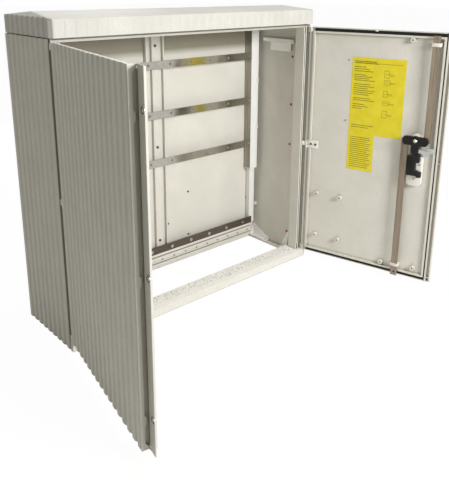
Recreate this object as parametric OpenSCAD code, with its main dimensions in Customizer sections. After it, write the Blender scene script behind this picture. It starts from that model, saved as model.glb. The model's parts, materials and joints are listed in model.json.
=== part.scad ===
// Outdoor cable distribution cabinet with ribbed moulded walls, a hipped roof,
// two hinged doors and a three-point rod lock on the right-hand door.
// X runs to the right along the width, the front faces -Y, and Z is up.
// The origin is the centre of the footprint, on the ground. The doors stand open.

/* [Cabinet] */
// Width over the side walls
cabinet_w = 1115; // [1060:1:1300]
// Depth from the front face to the rear face
cabinet_d = 320; // [310:1:400]
// Height of the body up to the roof's lower edge
body_h = 990; // [970:1:1150]
// Thickness of the moulded skin
skin = 5; // [4:0.5:6]
// Open seam between the side walls and the roof
roof_seam = 3; // [1:0.5:5]

/* [Ribs] */
// Distance between two ribs, evened out over each face
rib_pitch = 35; // [32:1:50]
// Height of a rib over the groove beside it
rib_depth = 3.5; // [2:0.5:4.5]
// Width of a rib's flat top
rib_top = 15; // [10:1:18]
// Width of a rib's sloped side
rib_side = 5; // [3:0.5:6]

/* [Roof] */
// Height of the roof's upright border
fascia_h = 54; // [45:1:80]
// Share of the rib's height on the front and rear of that border
fascia_rib = 0.35; // [0.2:0.05:1]
// Rise from the border to the ridge
roof_rise = 14; // [8:1:40]
// Distance from the roof's end to the end of its ridge
hip_inset = 20; // [15:1:60]
// Radius of the edge between the border and the slope
roof_round = 7; // [3:0.5:10]
// Thickness of the roof's shell
roof_wall = 4; // [3:0.5:6]
// Width of the inward flange that the roof rests on
roof_flange = 46; // [42:1:60]

/* [Base] */
// Height of the front sill
sill_h = 30; // [26:1:40]
// Depth of the front sill
sill_d = 80; // [70:1:95]
// Wall of the hollow front sill
sill_wall = 5; // [4:0.5:7]
// Height of the rear beam's underside
beam_z = 30; // [20:1:40]
// Height of the rear beam
beam_h = 52; // [46:1:60]
// Depth of the rear beam
beam_d = 31; // [28:1:38]
// Radius of the four base bolt holes
base_bolt_r = 5.5; // [4:0.5:7]
// Distance from the sill's rear face to the front base bolt holes
base_bolt_in = 20; // [14:1:30]

/* [Side walls] */
// Width of the column at the wall's front edge
column_w = 36; // [32:1:50]
// Depth of that column
column_d = 45; // [42:1:55]
// Width of the column's two front ridges and the groove between them
column_edge = 16; // [14:0.5:18]
// Depth of the groove between that edge and the wall
column_groove = 20; // [12:1:24]

/* [Doors] */
// Opening angle of the left-hand door
left_open = 100.5; // [0:0.5:115]
// Opening angle of the right-hand door
right_open = 104; // [0:0.5:115]
// Gap between the sill and the doors
door_gap = 1.6; // [1:0.1:3]
// Gap between the doors' top edge and the roof's lower edge
door_drop = 10; // [8:0.5:14]
// Gap between a door's outer edge and the cabinet's side face
door_inset = 0.5; // [0:0.1:1]
// Gap between the two closed doors
meeting_gap = 1; // [1:0.1:3]
// Radius of the round bead along a door's hinge edge
bead_r = 6; // [5.5:0.1:7]
// Open joint between that bead and the side wall
bead_gap = 5; // [1.5:0.5:6]
// Width of the rim round a door's edge
rim_w = 4; // [3:0.5:5]
// Depth of that rim
rim_t = 12; // [10:0.5:13]
// Width of the sealing ridge inside the rim
ridge_w = 7; // [4:0.5:8]
// Depth of the sealing ridge
ridge_t = 18; // [16:0.5:20]
// Reach of the left-hand door's lip behind the right-hand door
lip_reach = 35; // [26:1:40]
// Thickness of that lip
lip_w = 3; // [2.5:0.5:4]

/* [Hinges] */
// Radius of the hinge pins
pin_r = 3; // [2.5:0.1:3.5]
// Running clearance round the hinge pins
pin_fit = 0.05; // [0.02:0.01:0.09]
// Height of the upper and lower hinge eyes on the wall
eye_h = 22; // [16:1:30]
// Height of the middle hinge
mid_hinge_h = 32; // [28:1:44]

/* [Rails] */
// Height of the mounting rails
rail_h = 30; // [24:1:40]
// Thickness of the mounting rails
rail_t = 4; // [3:0.5:5]
// Height of the lowest mounting rail's centre
rail_low_z = 467; // [430:1:500]
// Distance between two mounting rails
rail_step = 190; // [150:1:200]
// Distance between two holes in a rail
hole_pitch = 100; // [80:1:120]
// Radius of the holes in the mounting rails
hole_r = 5.5; // [3:0.1:6.5]
// Height of the uprights' lower end
upright_z0 = 345; // [320:1:420]
// Height of the perforated cable rail over the rear beam
cable_rail_h = 30; // [24:1:40]

/* [Lock] */
// Distance from the lock's axis to the right-hand door's free edge
lock_in = 95.5; // [85:0.5:110]
// Height of the lock's axis
lock_z = 587; // [540:1:620]
// Turn of the lock from drawn back to locked, in degrees
lock_turn = 54; // [40:1:60]
// Distance from the lock's axis to each driven pin, and the pins' travel for each radian
cam_arm = 33; // [32:0.5:37]
// Distance between the centre lines of the two rods
rod_spread = 81; // [80:0.5:90]
// Width of the flat rods
rod_w = 25; // [22:1:26]
// Thickness of the flat rods and of the latch bolt
rod_t = 4; // [3:0.5:5]
// Height of the latch bolt
latch_h = 32; // [24:1:34]
// Length of the lock's moulded base below the axis
base_drop = 175; // [150:1:200]
// Height of the lock's black case
case_h = 76; // [60:1:84]

/* [Sheets] */
// Distance from the right-hand door's hinge edge to the sheets
sheet_u = 187; // [165:1:195]
// Distance from the right-hand door's top edge to the large sheet
sheet_drop = 106; // [80:1:120]
// Width of the large instruction sheet
sheet_w = 210; // [180:1:215]
// Height of the large instruction sheet
sheet_h = 297; // [240:1:300]
// Width of the small instruction card
card_w = 105; // [80:1:120]
// Height of the small instruction card
card_h = 148; // [100:1:160]

/* [Hidden] */
$fn = 48;

// Colours as the photo shows them
shell_grey = "#d5d1c8";
steel_grey = "#a9a49b";
dark_steel = "#5d554d";
white_steel = "#e4e4e0";
rod_brown = "#9c8b7d";
lock_black = "#1d1b1c";
cream = "#dfdacd";
sheet_yellow = "#e0cf35";
brass_red = "#9a4a34";

// Small allowances: a bite joins two shapes of one solid, a fit parts two solids
bite = 1;
fit = 0.5;
half_w = cabinet_w / 2;
half_d = cabinet_d / 2;
panel_t = rib_depth + skin;
top_h = body_h + fascia_h + roof_rise;

// Doors, in their own frame: u from the hinge edge, t inwards from the front face
door_w = half_w - door_inset - meeting_gap / 2;
door_z0 = sill_h + door_gap;
door_z1 = body_h - door_drop;
door_mid = (door_z0 + door_z1) / 2;
axis_x = half_w - door_inset - bead_r;
axis_y = bead_r - half_d;
pin_bore = pin_r + pin_fit;
ridge_hinge = 22;
ridge_edge = 16;
ridge_free = 25;
guard_in = 14;
guard_w = 6;
guard_t = 14;
guard_groove = 3;
lip_t = ridge_t + 3;
lip_start = 4;
lip_web_in = 7;
well_t = lip_t + 15;
edge_t = rim_t - 1.5;
bump_h = 36;
bump_t = edge_t + 5;
eye_gap = 0.6;
bead_clear = 2 * bead_r + eye_gap;

// Three hinges a door: a low, a middle and a high one
eye_low_top = door_z0 + eye_h;
eye_high_bottom = door_z1 - eye_h;
mid_eye_half = mid_hinge_h * 0.28;
mid_cut_half = mid_hinge_h / 2 + eye_gap;
leaf_t = 3;
leaf_reach = 58;
leaf_root = bead_clear + 3.5;
leaf_screw_u = [28, 48];
pin_over = 26;
mid_pin_half = mid_hinge_h / 2 + pin_over;

// Side walls: s runs backwards from the wall's front edge, t inwards from its outer face
wall_set = 2 * bead_r + bead_gap;
wall_len = cabinet_d - wall_set;
column_set = ridge_t + 1.5 - wall_set;
column_x = half_w - column_w;
column_ridge = column_edge * 0.3;
wall_in_x = half_w - panel_t;
panel_y = half_d - 2 * skin;
rail_z = door_z1 - 4;
top_rail_d = 36;
beam_y = panel_y - beam_d;
beam_end = column_x - 16;
sill_rear = sill_d - half_d;
base_bolt_x = (column_x + wall_in_x) / 2;
base_bolt_y = half_d - sill_d - base_bolt_in;
gusset_len = 46;
gusset_h = 80;
insert_in = 19;
strap_in = 11;
strap_rear = 60;
strap_drop = 65;

// Uprights and rails at the rear
upright_w = 42;
upright_d = 38;
upright_t = 2.5;
upright_foot_w = 30;
upright_foot_d = 24;
angle_t = 3;
angle_w = 20;
angle_drop = 5;
upright_x1 = column_x + 3.5;
upright_x0 = upright_x1 - upright_w;
upright_y = panel_y - upright_d;
rail_end = upright_x0 - angle_t;
upright_z1 = rail_z - 11;
rail_y = upright_y - 2;
rail_holes = floor((rail_end - 20) / hole_pitch - 0.5);
post_half = 42;
post_band = 15;
post_lift = 12;
post_t = 3;

// Lock, in the frame of the right-hand door
lock_u = door_w - lock_in;
rod_half = rod_w / 2;
rod_layer = lip_t + lip_w + 4;
rotor_layer = rod_layer + rod_t + 1;
rotor_t = 8;
rod_travel = cam_arm * lock_turn * PI / 180;
lock_half = lock_turn / 2;
cam_pin_r = 3;
cam_fit = 0.3;
cam_wall = 6.5;
cam_floor = 2.5;
lobe_half = 17;
lobe_round = 14;
stem_half = 14;
stem_round = 5;
hub_r = 19;
spindle_r = 8;
spindle_fit = 0.05;
spindle_flat = 10;
upper_rod_end = rail_z + 8 - rod_travel / 2;
lower_rod_end = sill_h - 12 + rod_travel / 2;
latch_end = door_w - lip_reach - 3 + rod_travel / 2;
rod_foot = cam_pin_r + 2;
latch_up = cam_arm - rod_foot - rod_travel / 2 - 1;
latch_low = latch_h - latch_up;
handle_len = 120;
handle_w = 22;
handle_t = 10;
plate_r = 30;
plate_t = 5;
sheet_t = 0.6;
seal_t = 5;
sheet_top = door_z1 - sheet_drop;
boss_r = 9;
boss_h = 14;
boss_u = [66, 169];
boss_z = [84, 268];
keeper_low = 102;
keeper_high = 93;
stud_in = 8;
guide_h = 13;
guide_up = 38;
guide_down = 38;

// Mirrors its children from the right-hand side to the left
module both_sides() {
    children();
    mirror([1, 0, 0]) children();
}

// Ribs: outline points along a face of length len, from the first groove to the last
function rib_count(len) = max(1, round(len / rib_pitch));
function rib_line(len) =
    let (count = rib_count(len), pitch = len / count)
    let (groove = (pitch - rib_top - 2 * rib_side) / 2)
    [for (i = [0:count - 1], p = [
        [i * pitch + groove, rib_depth],
        [i * pitch + groove + rib_side, 0],
        [(i + 1) * pitch - groove - rib_side, 0],
        [(i + 1) * pitch - groove, rib_depth]
    ]) p];

// Plan of a skin that is ribbed on its outer face and flat inside
module ribbed_skin(len, depth) {
    polygon(concat([[0, rib_depth]], rib_line(len), [[len, rib_depth], [len, depth], [0, depth]]));
}

// Plan of a block that is ribbed on all four sides
module ribbed_outline(w, d) {
    front = [for (p = rib_line(w - 2 * rib_depth)) [p[0] + rib_depth - w / 2, p[1] * fascia_rib - d / 2]];
    side = [for (p = rib_line(d - 2 * rib_depth)) [w / 2 - p[1], p[0] + rib_depth - d / 2]];
    polygon(concat(front, side, [for (p = front) -p], [for (p = side) -p]));
}

// Front sill: a hollow beam that the doors close over, with a slot for the lower rod
module front_sill() {
    color(shell_grey)
    difference() {
        union() {
            translate([fit - wall_in_x, -half_d, 0])
                cube([2 * (wall_in_x - fit), sill_d, sill_h]);
            translate([-half_w, -half_d, 0])
                cube([cabinet_w, wall_set - fit, sill_h]);
        }
        translate([sill_wall - wall_in_x, sill_wall - half_d, -bite])
            cube([2 * (wall_in_x - sill_wall), sill_d - 2 * sill_wall, sill_h - sill_wall + bite]);
        translate([axis_x + bead_r - lock_u + rod_spread / 2, rod_layer - half_d, 0])
            translate([-rod_half - 2, -2, 0])
                cube([rod_w + 4, rod_t + 4, sill_h + bite]);
    }
}

// Plan of a side wall with its front column and its rear flange
module wall_plan() {
    ribbed_skin(wall_len, panel_t);
    translate([column_groove, panel_t - bite]) square([skin, column_w - panel_t + bite]);
    difference() {
        translate([column_set, column_w - column_edge]) square([column_d - column_set, column_edge]);
        translate([column_set - bite, column_w - column_edge + column_ridge])
            square([column_groove / 2 + bite, column_edge - 2 * column_ridge]);
    }
    translate([wall_len - skin, panel_t - bite]) square([skin, column_w - panel_t + bite]);
}

module right_wall_shape() {
    flange_x = column_x;
    flange_w = wall_in_x - column_x + bite;
    flange_y0 = sill_rear + fit;
    flange_y1 = panel_y;
    top_y0 = column_d + wall_set - half_d;
    guard_z0 = door_z0 + ridge_edge + ridge_w + 4;
    guard_z1 = door_z1 - ridge_edge - ridge_w - 4;
    difference() {
        union() {
            translate([half_w, wall_set - half_d, 0])
                rotate([0, 0, 90])
                    linear_extrude(body_h - roof_seam) wall_plan();
            translate([column_x, wall_set - half_d, guard_z0])
                cube([column_ridge, column_set + bite, guard_z1 - guard_z0]);
            translate([flange_x, flange_y0, 0])
                cube([flange_w, flange_y1 - flange_y0, skin]);
            translate([flange_x, top_y0, body_h - roof_seam - skin]) {
                cube([flange_w, panel_y - top_rail_d - top_y0, skin]);
                cube([flange_w / 2, panel_y - top_rail_d - top_y0, roof_seam + skin]);
            }
        }
        translate([flange_x - bite, -half_d, -bite])
            cube([wall_in_x - flange_x + bite, sill_d + fit, sill_h + bite]);
        translate([flange_x - bite, -half_d, rail_z])
            cube([wall_in_x - flange_x + bite, column_d + wall_set, body_h]);
        translate([flange_x - bite, panel_y - top_rail_d, rail_z])
            cube([wall_in_x - flange_x + bite, half_d, body_h]);
        for (side = [-1, 1])
            base_bolt_room(base_bolt_r, side);
    }
}

module right_side_wall() { color(shell_grey) right_wall_shape(); }

module left_side_wall() { color(shell_grey) mirror([1, 0, 0]) right_wall_shape(); }

// Rear panel: ribbed outside, with flat edges behind the wall's flange and the post
module rear_panel_shape() {
    panel_x0 = meeting_gap / 2;
    panel_x1 = wall_in_x - fit;
    ribbed_w = column_x - panel_x0 - 2 * fit;
    translate([0, 0, fit]) {
        translate([panel_x0, panel_y, 0]) cube([panel_x1 - panel_x0, skin, rail_z - fit]);
        translate([panel_x0 + fit, panel_y + skin + rib_depth, 0])
            mirror([0, 1, 0])
                linear_extrude(rail_z - fit) ribbed_skin(ribbed_w, rib_depth + bite);
    }
}

module right_rear_panel() { color(shell_grey) rear_panel_shape(); }

module left_rear_panel() { color(shell_grey) mirror([1, 0, 0]) rear_panel_shape(); }

// Centre post: a hat section that covers the joint between the rear panels
module centre_post() {
    post_z0 = beam_z + beam_h;
    color(shell_grey)
    translate([0, panel_y, post_z0])
        linear_extrude(rail_z - post_z0)
            difference() {
                union() {
                    translate([-post_half, -post_t]) square([2 * post_half, post_t]);
                    translate([-post_band, -post_t - post_lift]) square([2 * post_band, post_lift + bite]);
                    for (side = [-1, 1])
                        translate([side * (post_half - post_t) - post_t, -post_t - post_lift])
                            square([2 * post_t, post_lift + bite]);
                }
                translate([post_t - post_band, -post_lift])
                    square([2 * (post_band - post_t), post_lift + bite]);
            }
}

// Points of an arc about a centre
function arc(centre, r, from, to, steps = 6) =
    [for (i = [0:steps]) let (a = from + (to - from) * i / steps) centre + r * [cos(a), sin(a)]];

// Half of a gable: an upright border, a rounded edge and a slope to the ridge
function gable_half(half, ridge_half, border, rise, r) =
    let (slope = atan2(rise, half - ridge_half), inset = r * tan((90 - slope) / 2))
    concat([[half, 0]], arc([half - r, border - inset], r, 0, 90 - slope), [[ridge_half, border + rise]]);

module gable(half, ridge_half, border, rise, r, depth) {
    points = gable_half(half, ridge_half, border, rise, r);
    flipped = [for (i = [len(points) - 1:-1:0]) [-points[i][0], points[i][1]]];
    rotate([90, 0, 0])
        translate([0, 0, -depth / 2])
            linear_extrude(depth) polygon(concat(points, flipped));
}

// Block with a hipped top: where a gable along X and a gable along Y meet
module hipped_block(w, d, border, r) {
    intersection() {
        gable(w / 2, w / 2 - hip_inset, border, roof_rise, r, d + 2 * bite);
        rotate([0, 0, 90]) gable(d / 2, r / 4, border, roof_rise, r, w + 2 * bite);
    }
}

// Roof: a ribbed hood with a hipped top and an inward flange round its lower edge
module roof() {
    inner_w = cabinet_w - 2 * (rib_depth + roof_wall);
    inner_d = cabinet_d - 2 * (rib_depth + roof_wall);
    color(shell_grey)
    translate([0, 0, body_h])
        difference() {
            intersection() {
                hipped_block(cabinet_w, cabinet_d, fascia_h, roof_round);
                linear_extrude(fascia_h + roof_rise + bite) ribbed_outline(cabinet_w, cabinet_d);
            }
            translate([0, 0, roof_wall])
                hipped_block(inner_w, inner_d, fascia_h - 2 * roof_wall, roof_round / 2);
            translate([roof_flange - half_w, roof_flange - half_d, -bite])
                cube([cabinet_w - 2 * roof_flange, cabinet_d - 2 * roof_flange, roof_wall + 2 * bite]);
        }
}

// Section of the rear top rail in Y and Z: a web at the panel and a flange under the roof
module rail_section(depth, web) {
    square([web, body_h - rail_z]);
    translate([0, body_h - rail_z - web]) square([depth, web]);
    translate([depth - web, (body_h - rail_z) / 2]) square([web, (body_h - rail_z) / 2]);
}

module along_width(half) {
    translate([-half, 0, 0])
        rotate([90, 0, 90])
            linear_extrude(2 * half) children();
}

// Section of the front top rail: a lip at the door side, a floor and a web up to the roof
module front_rail_section(depth, wall) {
    top = body_h - rail_z;
    square([wall, top / 2]);
    square([depth, wall]);
    translate([depth - wall, 0]) square([wall, top]);
    translate([depth - wall, top - wall]) square([3 * wall, wall]);
}

// Top front rail: the upper rod locks behind its lip, through a slot in its floor
module top_front_rail() {
    lip_y = lip_t + lip_w + 1.5 - half_d;
    rail_wall = 2;
    slot_x = axis_x + bead_r - lock_u - rod_spread / 2;
    slot_y = rod_layer - half_d;
    color(shell_grey)
    difference() {
        translate([0, lip_y, rail_z])
            along_width(wall_in_x - fit) front_rail_section(column_d / 2, rail_wall);
        translate([slot_x - rod_half - 2, slot_y - 1, rail_z - bite])
            cube([rod_w + 4, rod_t + 3, rail_wall + 2 * bite]);
    }
}

module top_rear_rail() {
    color(shell_grey)
    translate([0, panel_y + skin, rail_z])
        along_width(wall_in_x - fit) mirror([1, 0]) rail_section(top_rail_d, skin);
}

// Rear beam: an extruded bar with grooves along its front face
module rear_beam() {
    groove = 6;
    groove_t = 9;
    face_t = groove_t + 3;
    color(shell_grey)
    translate([0, beam_y, beam_z])
        along_width(beam_end)
            difference() {
                square([beam_d, beam_h]);
                for (z = [beam_h * 0.16, beam_h * 0.7])
                    translate([-bite, z]) square([groove_t + bite, groove]);
                translate([face_t, -bite]) square([beam_d - face_t - skin, beam_h * 0.55 + bite]);
                translate([-bite, beam_h * 0.36]) square([2 + bite, beam_h * 0.2]);
            }
}

// Plan of a folded channel that is open to the rear, from its inner front corner
module channel_plan(w, d) {
    difference() {
        square([w, d]);
        translate([upright_t, upright_t]) square([w - 2 * upright_t, d]);
    }
}

// Upright: a folded channel in each rear corner, on a narrower foot
module right_upright_shape() {
    foot_z = beam_z + beam_h;
    translate([upright_x0, upright_y, upright_z0])
        linear_extrude(upright_z1 - upright_z0)
            channel_plan(upright_w, upright_d - angle_t);
    translate([upright_x1 - upright_foot_w, panel_y - upright_foot_d, foot_z])
        linear_extrude(upright_z0 + 4 * angle_t - foot_z)
            channel_plan(upright_foot_w, upright_foot_d - angle_t);
}

module right_upright() { color(white_steel) right_upright_shape(); }

module left_upright() { color(white_steel) mirror([1, 0, 0]) right_upright_shape(); }

// Rail angle: carries the rails' ends, with its rear leg between the upright and the panel
module right_rail_angle_shape() {
    translate([rail_end, upright_y, upright_z0 + angle_drop])
        linear_extrude(upright_z1 - upright_z0 - angle_drop) {
            square([angle_t, upright_d]);
            translate([0, upright_d - angle_t]) square([angle_w + angle_t, angle_t]);
        }
}

module right_rail_angle() { color(steel_grey) right_rail_angle_shape(); }

module left_rail_angle() { color(steel_grey) mirror([1, 0, 0]) right_rail_angle_shape(); }

// Flat rail with a row of round holes, between the two rail angles
module flat_rail(half, height, thick, holes) {
    difference() {
        translate([-half, 0, -height / 2]) cube([2 * half, thick, height]);
        for (i = [0:holes], side = [-1, 1])
            translate([side * (i + 0.5) * hole_pitch, -bite, 0])
                rotate([-90, 0, 0])
                    cylinder(r = hole_r, h = thick + 2 * bite);
    }
}

module mounting_rail(index) {
    color(steel_grey)
    translate([0, rail_y, rail_low_z + index * rail_step])
        flat_rail(rail_end, rail_h, rail_t, rail_holes);
}

module lower_mounting_rail() { mounting_rail(0); }

module middle_mounting_rail() { mounting_rail(1); }

module upper_mounting_rail() { mounting_rail(2); }

// Cable rail: the dark perforated rail that stands on the rear beam
module cable_rail() {
    color(dark_steel)
    translate([0, beam_y + 1, beam_z + beam_h + cable_rail_h / 2])
        flat_rail(beam_end, cable_rail_h, rail_t, rail_holes);
}

// Gusset: a foot on the wall's lower flange, a plate on the wall and a web between them
module gusset(length, height) {
    thick = 4;
    foot_w = wall_in_x - column_x - thick;
    translate([wall_in_x - foot_w, 0, skin]) {
        cube([foot_w, length, thick]);
        translate([foot_w - thick, 0, 0])
            rotate([90, 0, 90])
                linear_extrude(thick)
                    polygon([[0, 0], [length, 0], [length, 3 * thick], [2 * thick, height], [0, height]]);
        rotate([90, 0, 0])
            translate([0, 0, -thick])
                linear_extrude(thick)
                    polygon([[0, 0], [foot_w, 0], [foot_w, height], [foot_w - thick, height]]);
    }
}

// Room for the base bolts, which also hold the gussets' feet
module base_bolt_room(r, side) {
    translate([base_bolt_x, side * base_bolt_y, -bite])
        cylinder(r = r, h = 4 * skin);
}

module front_gussets() {
    color(cream)
    both_sides()
        difference() {
            translate([0, sill_rear + fit, 0]) gusset(gusset_len, gusset_h);
            base_bolt_room(base_bolt_r, -1);
        }
}

module rear_gussets() {
    rear_len = panel_y - base_bolt_y + 14;
    color(cream)
    both_sides()
        difference() {
            translate([0, panel_y - fit, 0])
                mirror([0, 1, 0]) gusset(rear_len, gusset_h * 0.7);
            base_bolt_room(base_bolt_r, 1);
        }
}

// Roof straps: a plate on two round feet, high on each side wall
module roof_straps() {
    feet = [sill_rear + strap_in, panel_y - strap_rear];
    plate_y = [sill_rear + insert_in, panel_y - 1.6 * strap_rear];
    strap_z = door_z1 - strap_drop;
    stand = 10;
    knob = [9, 6];
    color(cream)
    both_sides() {
        for (i = [0, 1])
            translate([wall_in_x - stand - knob[i], feet[i], strap_z])
                rotate([0, 90, 0])
                    difference() {
                        cylinder(r = knob[i], h = stand + knob[i]);
                        translate([0, 0, -bite]) cylinder(r = 3, h = 3 + bite);
                    }
        translate([wall_in_x - stand - 3, feet[0] - 8, strap_z - 8])
            cube([3, feet[1] - feet[0] + 16, 16]);
        translate([wall_in_x - stand - 3, plate_y[0], strap_z - 42])
            cube([3, plate_y[1] - plate_y[0], 42]);
    }
}

// Inserts moulded into the side walls, in a column near the front
module wall_inserts() {
    insert_y = sill_rear + insert_in;
    insert_z = [83, 483, 655, 853];
    color(brass_red)
    both_sides()
        for (z = insert_z)
            translate([wall_in_x, insert_y, z])
                rotate([0, -90, 0])
                    difference() {
                        cylinder(r = 5, h = 2);
                        translate([0, 0, bite]) cylinder(r = 2.5, h = 2);
                    }
}

// Domed screw head that stands on a plane facing -Y
module front_head(r, h) {
    rotate([90, 0, 0]) {
        cylinder(r = r, h = h / 2);
        translate([0, 0, h / 2]) cylinder(r1 = r, r2 = r * 0.7, h = h / 2);
    }
}

// Screws that hold the rails beside the uprights
module rail_screws() {
    color(steel_grey)
    both_sides()
        for (i = [0:2])
            translate([rail_end - 8, rail_y, rail_low_z + i * rail_step])
                front_head(4.5, 3);
}

// Screws through the centre post
module post_screws() {
    color(steel_grey)
    for (z = [beam_z + beam_h + 50, (beam_z + beam_h + rail_z) / 2, rail_z - 60])
        translate([0, panel_y - post_t - post_lift, z]) front_head(5, 3);
}

// Hinge bracket in plan: an eye round the pin and a lug back to the wall's front edge
module bracket_plan(with_plate) {
    lug_w = 10;
    face_y = column_set + wall_set - half_d;
    difference() {
        union() {
            translate([axis_x, axis_y]) circle(r = bead_r);
            translate([axis_x - lug_w / 2, axis_y]) square([lug_w, wall_set - half_d - axis_y]);
            if (with_plate) {
                translate([wall_in_x - 6, axis_y + bead_r / 2])
                    square([6 - fit, face_y - axis_y - bead_r / 2]);
                translate([column_x + column_edge + fit, face_y - leaf_t])
                    square([wall_in_x - 2 * fit - column_x - column_edge, leaf_t]);
            }
        }
        translate([axis_x, axis_y]) circle(r = pin_bore);
    }
}

module right_brackets() {
    translate([0, 0, sill_h]) linear_extrude(eye_low_top - sill_h) bracket_plan(false);
    translate([0, 0, door_mid - mid_eye_half]) linear_extrude(2 * mid_eye_half) bracket_plan(true);
    translate([0, 0, eye_high_bottom]) linear_extrude(rail_z - eye_high_bottom) bracket_plan(false);
}

module right_hinge_brackets() { color(cream) right_brackets(); }

module left_hinge_brackets() { color(cream) mirror([1, 0, 0]) right_brackets(); }

module right_pins() {
    spans = [
        [sill_h, eye_low_top + pin_over],
        [door_mid - mid_pin_half, door_mid + mid_pin_half],
        [eye_high_bottom - pin_over, rail_z]
    ];
    for (span = spans)
        translate([axis_x, axis_y, span[0]]) cylinder(r = pin_r, h = span[1] - span[0]);
}

module right_hinge_pins() { color(steel_grey) right_pins(); }

module left_hinge_pins() { color(steel_grey) mirror([1, 0, 0]) right_pins(); }

// Carries its children from a door's own frame to the left-hand door as it stands open
module swung_door(open) {
    translate([-axis_x, axis_y, 0])
        rotate([0, 0, -open])
            translate([-bead_r, -bead_r, 0]) children();
}

module on_left_door() { swung_door(left_open) children(); }

module on_right_door() { mirror([1, 0, 0]) swung_door(right_open) children(); }

// Lays a flat shape drawn in u and z on a door, from depth t0 to t0 + thick
module on_face(t0, thick) {
    translate([0, t0 + thick, 0]) rotate([90, 0, 0]) linear_extrude(thick) children();
}

// Post that stands on a door's inner face
module door_post(u, z, r, depth) {
    translate([u, panel_t - bite, z]) rotate([-90, 0, 0]) cylinder(r = r, h = depth + bite);
}

// Bosses moulded on each door: a square of four low down, and three near the lock
function boss_spots() = concat(
    [for (u = boss_u, z = boss_z) [u, door_z0 + z]],
    [[lock_u - 46, door_z1 - 31], [lock_u + 28, door_z0 + 44], [lock_u - 101, door_z0 + 37]]
);

// What the two doors share: the ribbed skin, the hinge bead, rims, ridges and bosses
module door_body() {
    door_h = door_z1 - door_z0;
    difference() {
        union() {
            translate([bead_r, 0, door_z0])
                linear_extrude(door_h) ribbed_skin(door_w - bead_r, panel_t);
            translate([bead_r, bead_r, door_z0]) cylinder(r = bead_r, h = door_h);
            for (z = [door_z0, door_z1 - rim_w])
                translate([bead_clear + 1, panel_t - bite, z])
                    cube([door_w - bead_clear - 1, rim_t - panel_t + bite, rim_w]);
            for (z = [door_z0 + ridge_edge, door_z1 - ridge_edge - ridge_w])
                translate([ridge_hinge, panel_t - bite, z])
                    cube([door_w - ridge_hinge - ridge_free, ridge_t - panel_t + bite, ridge_w]);
            translate([ridge_hinge, panel_t - bite, door_z0 + ridge_edge])
                cube([ridge_w, ridge_t - panel_t + bite, door_h - 2 * ridge_edge]);
            for (spot = boss_spots())
                door_post(spot[0], spot[1], boss_r, boss_h);
        }
        for (spot = boss_spots())
            translate([spot[0], panel_t + bite, spot[1]])
                rotate([-90, 0, 0]) cylinder(r = boss_r / 3, h = boss_h + bite);
        translate([bead_r, bead_r, door_z0 - bite]) cylinder(r = pin_bore, h = door_h + 2 * bite);
        translate([-bite, -bite, door_z0 - bite])
            cube([bead_clear + bite, 3 * bead_r, eye_h + eye_gap + bite]);
        translate([-bite, -bite, eye_high_bottom - eye_gap])
            cube([bead_clear + bite, 3 * bead_r, eye_h + eye_gap + bite]);
        translate([-bite, -bite, door_mid - mid_cut_half])
            cube([bead_clear + bite, 3 * bead_r, 2 * mid_cut_half]);
        translate([bead_r, panel_t, door_mid - mid_cut_half])
            cube([ridge_hinge + ridge_w - bead_r + bite, ridge_t, 2 * mid_cut_half]);
    }
}

// Left-hand door: its free edge has a recess and a lip that reaches behind the other door
module left_door() {
    door_h = door_z1 - door_z0;
    color(shell_grey)
    on_left_door() {
        door_body();
        translate([door_w - rim_w, 0, door_z0]) cube([rim_w, edge_t, door_h]);
        translate([0, 0, door_z0]) linear_extrude(rail_z - 2 - door_z0) well_plan();
        translate([door_w + lip_start, lip_t, door_z0])
            cube([lip_reach - lip_start, lip_w, door_h]);
        translate([0, 0, door_z1]) mirror([0, 0, 1]) well_wedge();
        translate([0, 0, door_z0]) well_wedge();
        for (z = keeper_heights())
            translate([door_w - lip_web_in - bite, 0, z - bump_h])
                rotate([90, 0, 90])
                    linear_extrude(lip_web_in + bite)
                        polygon([
                            [panel_t - bite, 0], [bump_t, bump_h / 4],
                            [bump_t, bump_h * 0.8], [panel_t - bite, bump_h]
                        ]);
    }
}

// Plan of the deep recess beside the lip: an inner side, a floor and an outer side
module well_plan() {
    inner_u = door_w - lip_web_in - rim_w;
    outer_u = door_w + lip_start;
    floor_t = well_t + lip_w;
    polygon([
        [inner_u, panel_t - bite], [inner_u + rim_w, panel_t - bite], [inner_u + rim_w, well_t],
        [outer_u, well_t], [outer_u, lip_t], [outer_u + 2 * lip_w, lip_t],
        [outer_u + 2 * lip_w, lip_t + lip_w], [outer_u + lip_w, lip_t + lip_w],
        [outer_u + lip_w, floor_t], [inner_u, floor_t]
    ]);
}

// Wedge that closes that recess at an end of the door, and the tie from it to the lip
module well_wedge() {
    inner_u = door_w - lip_web_in - rim_w;
    translate([inner_u, 0, 0])
        rotate([90, 0, 90])
            linear_extrude(lip_web_in + rim_w)
                polygon([
                    [panel_t - bite, 0], [lip_t + bite, 0], [lip_t + bite, rim_w], [edge_t, 5 * rim_w],
                    [panel_t - bite, 5 * rim_w]
                ]);
    translate([inner_u, lip_t - bite, 0])
        cube([lip_web_in + rim_w + lip_start + lip_w, 2 * bite, rim_w]);
}

// Heights of the three keepers on the left-hand door's lip
function keeper_heights() = [door_z0 + keeper_low, door_mid, door_z1 - keeper_high];

module keeper_studs() {
    color(steel_grey)
    on_left_door()
        for (z = keeper_heights())
            translate([door_w + lip_reach - stud_in, lip_t, z])
                rotate([90, 0, 0])
                    difference() {
                        cylinder(r = 10.5, h = 1.9);
                        translate([0, 0, 0.8])
                            difference() {
                                cylinder(r = 8.5, h = 2);
                                cylinder(r = 5, h = 2);
                            }
                    }
}

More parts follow.
